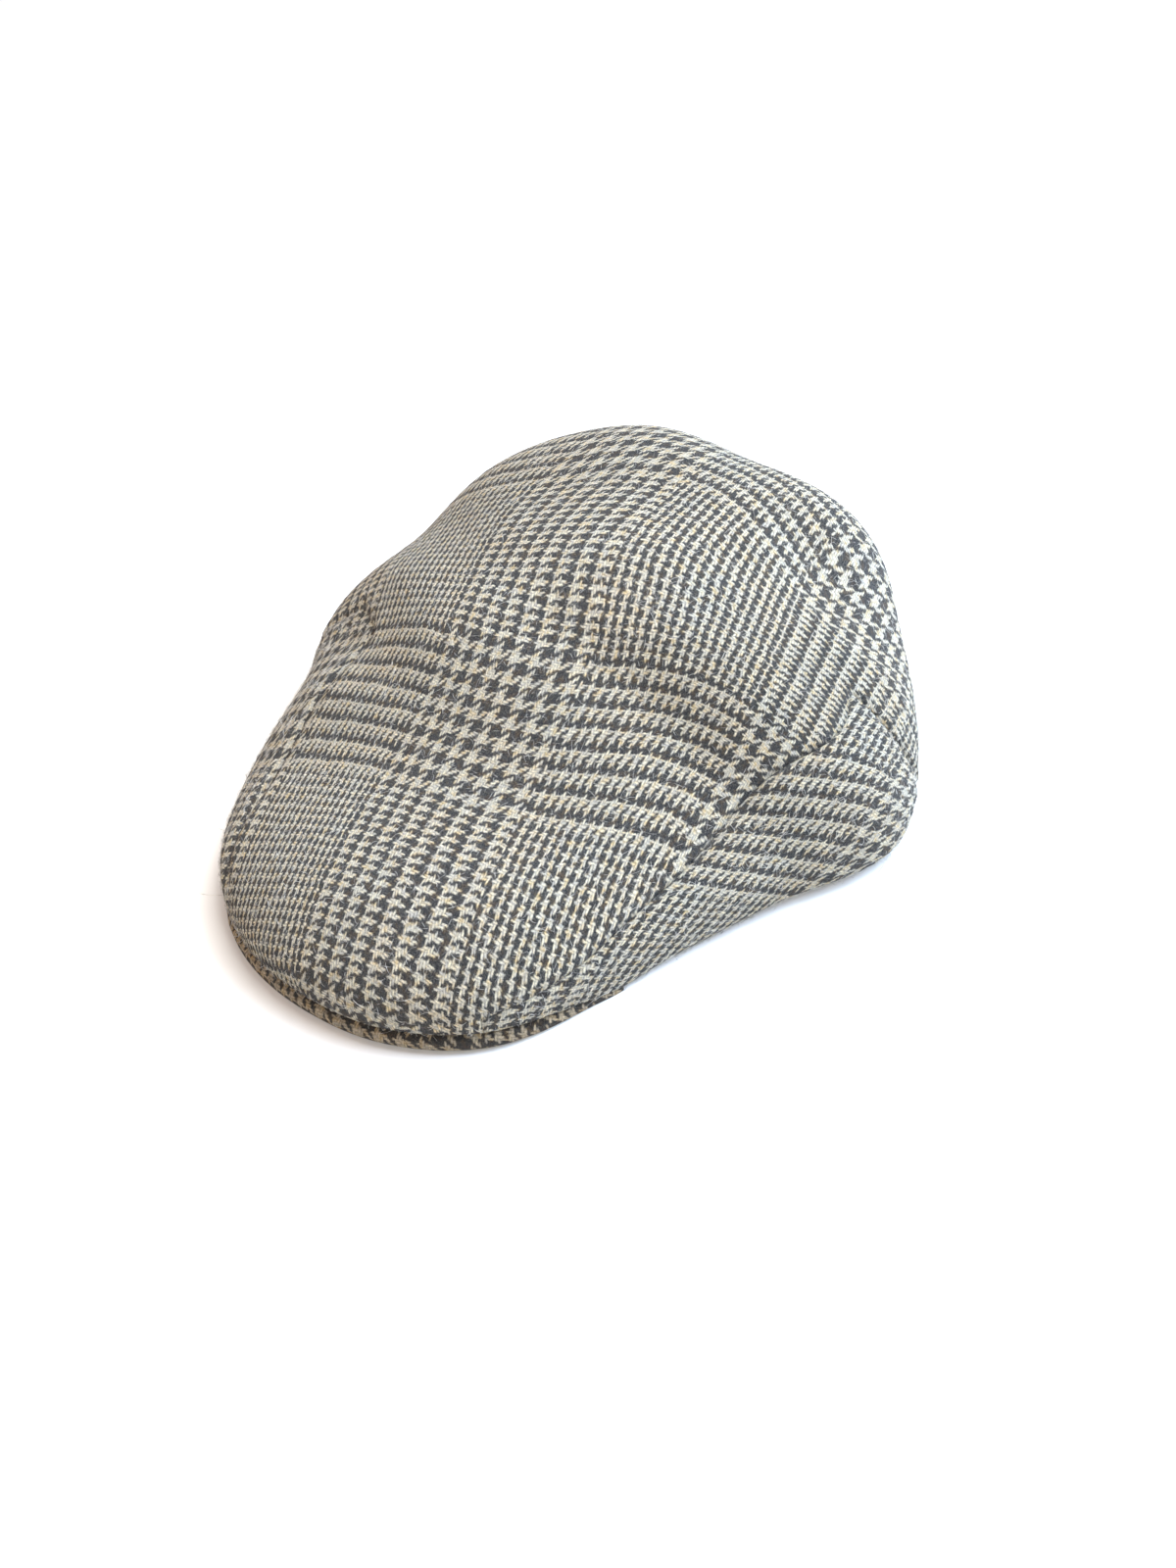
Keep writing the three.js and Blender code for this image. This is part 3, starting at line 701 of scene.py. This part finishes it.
# %% [markdown]
# The wool itself is never even. Each thread is spun from differently dyed hairs, the threads' edges are ragged, and
# stray hairs of one colour lie over the other. Noise does all of this, stretched along the threads for the streaks,
# and added to the place in the weave for the ragged edges.

# %% The wool's colours
LIGHT = {"cream": (1.0, 0.92, 0.70), "grey": (0.58, 0.56, 0.51), "straw": (0.80, 0.63, 0.34)}
DARK = {"charcoal": (0.010, 0.010, 0.013), "brown": (0.058, 0.038, 0.029), "slate": (0.018, 0.023, 0.036)}
DRIFT = {"Red": 0.14, "Green": 0.0, "Blue": -0.16}  # how much each part of the colour changes over the cap
RAGGED = {"scale": 45.0, "amount": 0.24, "roughness": 0.6}  # the threads' ragged edges, in repeats
WAVY = {"scale": 1.3, "amount": 0.3, "roughness": 0.5}  # how the threads wander


def shake(s, place, scale, amount, roughness):
    """A small push both ways in the weave: a noise's colour less a half, times the amount."""
    noise = s.node("ShaderNodeTexNoise", "Color", {
        "Vector": place, "Scale": scale, "Detail": 2.0, "Roughness": roughness})
    centred = s.node("ShaderNodeVectorMath", 0, {0: noise, 1: (0.5, 0.5, 0.5)}, operation="SUBTRACT")
    return s.node("ShaderNodeVectorMath", 0, {0: centred, 1: (amount, amount, 0)}, operation="MULTIPLY")


def heather(s, place, stretch, low, high):
    """Streaks of differently dyed wool along the threads: noise that is stretched along one direction."""
    stretched = s.node("ShaderNodeVectorMath", 0, {0: place, 1: stretch}, operation="MULTIPLY")
    noise = s.node("ShaderNodeTexNoise", 0, {"Vector": stretched, "Scale": 1.0, "Detail": 2.0})
    return s.node("ShaderNodeMapRange", 0, {"Value": noise, "From Min": low, "From Max": high})


def stray_hairs(s, place):
    """Thin bent ridges of noise, which are hairs that lie across the threads."""
    return s.node("ShaderNodeTexNoise", 0, {
        "Vector": place, "Scale": 20.0, "Detail": 1.0, "Roughness": 0.6, "Distortion": 1.5,
        "Offset": 1.0, "Gain": 1.0}, noise_type="RIDGED_MULTIFRACTAL", normalize=False)


def wool_colour(s, place, over, lightness, hairs):
    """The two wools with their heather, and the paler and the darker hairs over both."""
    along_warp, along_weft = (heather(s, place, stretch, 0.35, 0.65) for stretch in ((9.0, 1.2, 1), (1.2, 9.0, 1)))
    streak = by_share(s, over, along_warp, along_weft)
    speck = heather(s, place, (3.0, 3.0, 1), 0.48, 0.72)
    pale = mix(s, speck, mix(s, streak, LIGHT["grey"], LIGHT["cream"]), LIGHT["straw"])
    deep = mix(s, speck, mix(s, streak, DARK["charcoal"], DARK["slate"]), DARK["brown"])
    pale_hairs = s.node("ShaderNodeMapRange", 0, {"Value": hairs, "From Min": 1.0, "From Max": 1.6, "To Max": 0.45})
    dark_hairs = s.node("ShaderNodeMapRange", 0, {
        "Value": hairs, "From Min": 0.2, "From Max": 0.7, "To Min": 0.6, "To Max": 0.0})
    lightness = s("MAXIMUM", s("MULTIPLY", lightness, s("SUBTRACT", 1.0, dark_hairs)), pale_hairs)
    return mix(s, lightness, deep, pale)


def shaded(s, place, colour, height, painted_shade_tint):
    """The colour, darkened as painted shade in the gaps between the threads, times the painted-shade tint and a slow
    drift in warmth.
    """
    # Painted shade: the low parts of each thread, in the gaps between threads, are darkened in the colour itself.
    shade = s.node("ShaderNodeMapRange", 0, {"Value": height, "From Max": 0.8, "To Min": 0.12, "To Max": 1.0})
    drift = s("SUBTRACT", s.node("ShaderNodeTexNoise", 0, {"Vector": place, "Scale": 0.3, "Detail": 1.0}), 0.5)
    factor = s.node("ShaderNodeCombineColor", 0, {
        part: s("MULTIPLY", s("MULTIPLY", shade, float(value)), s("ADD", 1.0, s("MULTIPLY", drift, DRIFT[part])))
        for part, value in zip(("Red", "Green", "Blue"), painted_shade_tint)})
    darker = s.tree.nodes.new("ShaderNodeMix")
    darker.data_type, darker.blend_type = "RGBA", "MULTIPLY"
    darker.inputs[0].default_value = 1
    s.tree.links.new(colour, darker.inputs[6])
    s.tree.links.new(factor, darker.inputs[7])
    return darker.outputs[2]

# %% The cloth's material
def make_cloth(name, painted_shade_tint=(1, 1, 1)):
    """The twill: colours by thread, heather along each, stray hairs over both, painted shade in the gaps between the
    threads, a tint that darkens it as painted shade, bump from the threads' height. The place in the weave is first
    shaken, which gives the colours' borders their woolly edge."""
    material = bpy.data.materials.new(name)
    material.use_nodes = True
    s = Sums(material.node_tree)
    place = s.node("ShaderNodeUVMap", 0, uv_map="weave")
    moved = place
    for push in (shake(s, place, **RAGGED), shake(s, place, **WAVY)):
        moved = s.node("ShaderNodeVectorMath", 0, {0: moved, 1: push}, operation="ADD")
    over, lightness, height = weave_at(s, moved)
    hairs = stray_hairs(s, place)
    colour = shaded(s, place, wool_colour(s, place, over, lightness, hairs), height, painted_shade_tint)
    bump = s.node("ShaderNodeBump", 0, {
        "Height": s("ADD", height, s("MULTIPLY", hairs, 0.45)), "Strength": 0.8, "Distance": 0.0004})
    surface = s.tree.nodes["Principled BSDF"]
    s.tree.links.new(colour, surface.inputs["Base Color"])
    s.tree.links.new(bump, surface.inputs["Normal"])
    surface.inputs["Roughness"].default_value = 0.95
    surface.inputs["Specular IOR Level"].default_value = 0.15
    surface.inputs["Sheen Weight"].default_value = 0.1
    surface.inputs["Sheen Roughness"].default_value = 0.5
    return material


cloth = make_cloth("woollen twill")
# The peak's rim is the same twill darkened by a brown tint: painted shade for the shadow under the crown's front.
rim_cloth_painted_shade = make_cloth("woollen twill of the peak in painted shade", (0.66, 0.58, 0.50))
print("the twill has", len(cloth.node_tree.nodes), "nodes")

# %% [markdown]
# ## The three panels
# Every mesh of the net belongs to one panel: those below the seam's ring in the sectors beside the two seams are the
# side panels, and all the others are the top panel. The side panel that shows was cut from another place of the
# cloth, so its check has a table of its own.

# %% Sew the panels
column, ring = np.meshgrid(np.arange(COLUMNS), np.arange(RINGS), indexing="ij")
sector = np.repeat(np.arange(4), COUNTS)[column]
below = ring >= CROWN_RINGS
on_left, on_right = below & (sector == 0), below & (sector == 2)
on_top = ~(on_left | on_right)
half = SEAM_GAP / 2
seams = [moved_aside(0, half), moved_aside(2, half)]
top_panel = make_panel("top_panel_cloth", on_top, seams, cloth, "top_panel")
side_left = make_panel("side_left_cloth", on_left, [moved_aside(0, -half)], cloth, "side_panel_left", CHECK_LEFT)
side_right = make_panel("side_right_cloth", on_right, [moved_aside(2, -half)], cloth, "side_panel_right")

# %% [markdown]
# ## The peak
# The peak is a thin board between two layers of cloth. Only its rolled rim shows below the crown's front. Its section
# is a loop of places, given by how far out and how high each lies, and the loop is carried round from one end of the
# peak to the other. The solids have the same section with fewer places.

# %% The peak's section, carried round
PEAK = {"rim_proud": 2.4, "rim_fade": 16, "slope": 0.3, "thickness": 4.2, "foot": 7.0, "gap": 0.3, "clear": 1}
PEAK_RIM = {"share": [0, 0.25, 0.5, 0.75, 1], "proud": [0.2, 0.8, 1, 0.8, 0.1], "height": [1, 0.86, 0.52, 0.2, 0]}
PEAK_WEAVE = {"radius": 125, "across": 6.6, "along": 7.2}  # the rim's usual reach, and the check's repeats on it


def peak_loop(angle, rim_rows=16, flat_rows=9):
    """The section in each direction, as distances from the axis and heights: from the head's oval out along the top,
    round the rim and back along the underside. The rim stands out by its table's share, and fades out to the ends."""
    edge, rear = reach(angle) - tuck(angle), head_oval(angle)
    neck, level = edge - WALL - hem("lip", angle) - PEAK["clear"], hem("rise", angle) - PEAK["gap"]
    proud = PEAK["rim_proud"] * smooth_step(PEAK_HALF_ANGLE - np.abs(angle - PEAK_MIDDLE), 0, PEAK["rim_fade"])
    rear_top = level + PEAK["slope"] * (neck - rear)
    t = np.linspace(0, 1, rim_rows)
    rim_out, rim_up = (np.maximum(curve(PEAK_RIM["share"], PEAK_RIM[k])(t), 0) for k in ("proud", "height"))
    share, foot = np.linspace(0, 1, flat_rows), edge - PEAK["foot"]
    out = np.concatenate([rear + (neck - rear) * share, edge + proud * rim_out, foot + (rear - foot) * share], 1)
    underside = (rear_top - PEAK["thickness"]) * share
    return out, np.concatenate([rear_top + (level - rear_top) * share, level * rim_up, underside], 1)


def make_peak(name, across=128):
    """The loops of all directions, joined by strips of faces and closed by a face at each end."""
    angle = PEAK_MIDDLE + np.linspace(-PEAK_HALF_ANGLE, PEAK_HALF_ANGLE, across + 1)[:, None]
    out, z = peak_loop(angle)
    turn = np.radians(angle)
    places = np.stack([out * np.sin(turn), -out * np.cos(turn), z], -1)
    number = np.arange(out.size).reshape(out.shape)
    after = np.roll(number, -1, 1)
    faces = np.stack([number[:-1], after[:-1], after[1:], number[1:]], -1).reshape(-1, 4).tolist()
    faces += [number[0][::-1].tolist(), number[-1].tolist()]
    run = np.cumsum(np.hypot(np.diff(out, axis=1, prepend=out[:, :1]), np.diff(z, axis=1, prepend=z[:, :1])), 1)
    along_rim = turn * PEAK_WEAVE["radius"] / PEAK_WEAVE["across"] + 0 * run
    weave = np.stack([along_rim, run / PEAK_WEAVE["along"]], -1).reshape(-1, 2)
    return make_piece(name, to_row(places.reshape(-1, 3)), faces, weave, rim_cloth_painted_shade, "peak")


peak = make_peak("peak_cloth")

# %% [markdown]
# ## Loose hairs
# Wool is never clean at its edges: short hairs stand off the threads and soften every outline, and here and there a
# longer one lies across. Blender's hair would not survive an export, so each hair is a thin mesh of its own, with
# three sides and pointed ends. The hairs grow from the finished panels' own faces, which give them place and slope.

# %% Hairs as thin meshes
HAIR_STEPS = np.linspace(0, 1, 5)
HAIR_BEND, HAIR_FLOOR = 0.9, 0.0003  # the usual turn from root to tip in radians, and the lowest place in metres


def faces_of(piece, kind, width=3):
    """One value of each face of a piece, as an array with a row a face."""
    values = np.empty(len(piece.data.polygons) * width)
    piece.data.polygons.foreach_get(kind, values)
    return values.reshape(-1, width)


def hair_lines(piece, outer, count, length, lift, thick, seed):
    """Lines that start all over a piece's outer faces, as many on each as its area asks for, and their normals. Each
    is bent in the face's own plane: the way along it turns by a random angle. Its height over the cloth is lift times
    the sine of its share of the way, from nothing up to half a turn, so that some ends come down again and some stay
    up. None goes into the surface that the cap rests on."""
    random = np.random.default_rng(seed)
    area = faces_of(piece, "area", 1)[:outer, 0]
    chosen = random.choice(outer, count, p=area / area.sum())
    centre, normal = faces_of(piece, "center")[chosen], faces_of(piece, "normal")[chosen]
    east = np.cross(normal, random.normal(0, 1, (count, 3)))
    east /= np.linalg.norm(east, axis=1)[:, None]
    north = np.cross(normal, east)
    turn = random.normal(0, HAIR_BEND, count)[:, None] * HAIR_STEPS
    step = (length * random.lognormal(0, 0.35, count) / 4)[:, None]
    across, along = (np.cumsum(step * part(turn), 1) - step for part in (np.sin, np.cos))
    shift = random.normal(0, 0.5, (count, 2)) * np.sqrt(area[chosen])[:, None]
    end = random.uniform(0.5, 1, count)[:, None]
    height = lift * random.uniform(0.3, 1, count)[:, None] * np.sin(np.pi * end * HAIR_STEPS) - thick / 2
    line = (centre[:, None] + (across + shift[:, :1])[..., None] * east[:, None]
            + (along + shift[:, 1:])[..., None] * north[:, None] + height[..., None] * normal[:, None])
    line[..., 2] = np.maximum(line[..., 2], HAIR_FLOOR)
    return line, normal


def hair_tubes(line, normal, thick):
    """The places and faces round lines of five places: three sides, and points at both ends."""
    way = np.gradient(line, axis=1)
    side = np.cross(way, normal[:, None])
    side /= np.linalg.norm(side, axis=2, keepdims=True)
    up = np.cross(side, way)
    up /= np.linalg.norm(up, axis=2, keepdims=True)
    round_it = np.radians([90, 210, 330])[:, None, None, None]
    ring = line + thick / 2 * (np.cos(round_it) * side + np.sin(round_it) * up)
    ring = ring[:, :, 1:4].transpose(1, 2, 0, 3).reshape(len(line), 9, 3)
    places = np.concatenate([line[:, :1], ring, line[:, 4:]], 1).reshape(-1, 3)
    k, after = np.arange(3), (np.arange(3) + 1) % 3
    tips = np.concatenate([np.stack([0 * k, 1 + after, 1 + k], 1), np.stack([0 * k + 10, 7 + k, 7 + after], 1)])
    sides = np.concatenate([np.stack([1 + k + r, 1 + after + r, 4 + after + r, 4 + k + r], 1) for r in (0, 3)])
    number = 11 * np.arange(len(line))[:, None, None]
    return places, (tips + number).reshape(-1, 3).tolist() + (sides + number).reshape(-1, 4).tolist()


def make_wool(name, pale, dim):
    """Plain soft wool for single hairs, paler and darker from place to place."""
    material = bpy.data.materials.new(name)
    material.use_nodes = True
    s = Sums(material.node_tree)
    place = s.node("ShaderNodeTexCoord", "Object")
    noise = s.node("ShaderNodeTexNoise", 0, {"Vector": place, "Scale": 400.0, "Detail": 1.0})
    shade = s.node("ShaderNodeMapRange", 0, {"Value": noise, "From Min": 0.4, "From Max": 0.6})
    surface = material.node_tree.nodes["Principled BSDF"]
    material.node_tree.links.new(mix(s, shade, dim, pale), surface.inputs["Base Color"])
    surface.inputs["Roughness"].default_value = 0.7
    return material


wool = make_wool("loose wool", (0.80, 0.78, 0.72), (0.30, 0.29, 0.28))

# %% [markdown]
# Two lots of hairs go on each cloth panel: dense short fuzz, and a few long hairs that lie loosely over it. The seed
# of each lot is fixed, so that every run draws the same hairs.

# %% Hairs on the panels
FUZZ = {"length": 0.0026, "lift": 0.0007, "thick": 0.00009}
LONG_HAIRS = {"length": 0.009, "lift": 0.0012, "thick": 0.00014}
FUZZ_TO_LONG = 150  # short hairs for each long one
HAIRY = [  # the piece, its outer faces, which come first in it, its count of short hairs, and its node
    {"piece": top_panel, "outer": on_top.sum(), "count": 9000, "node": "top_panel"},
    {"piece": side_left, "outer": on_left.sum(), "count": 2000, "node": "side_panel_left"},
    {"piece": side_right, "outer": on_right.sum(), "count": 2000, "node": "side_panel_right"},
]


def make_hairs(name, piece, outer, count, node, size, seed):
    """One lot of hairs on a piece. Like the piece, they hide the solid of that piece's node."""
    places, faces = hair_tubes(*hair_lines(piece, outer, count, seed=seed, **size), size["thick"])
    return make_piece(name, places, faces, np.zeros((len(places), 2)), wool, node)


for seed, panel in enumerate(HAIRY):
    make_hairs(panel["node"] + "_fuzz", size=FUZZ, seed=seed, **panel)
    few = {**panel, "count": panel["count"] // FUZZ_TO_LONG}
    make_hairs(panel["node"] + "_long_hairs", size=LONG_HAIRS, seed=10 + seed, **few)

# %% [markdown]
# ## Sizes
# Both boxes, the solids' and the dressed cap's, are printed in millimetres.

# %% Sizes, and the end
boxes = {name: [list(corner) for corner in box] for name, box in (("cad", cad_box), ("visual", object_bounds()))}
for name, (low, high) in boxes.items():
    print(name, "box in mm", [round(1000 * (b - a), 1) for a, b in zip(low, high)])
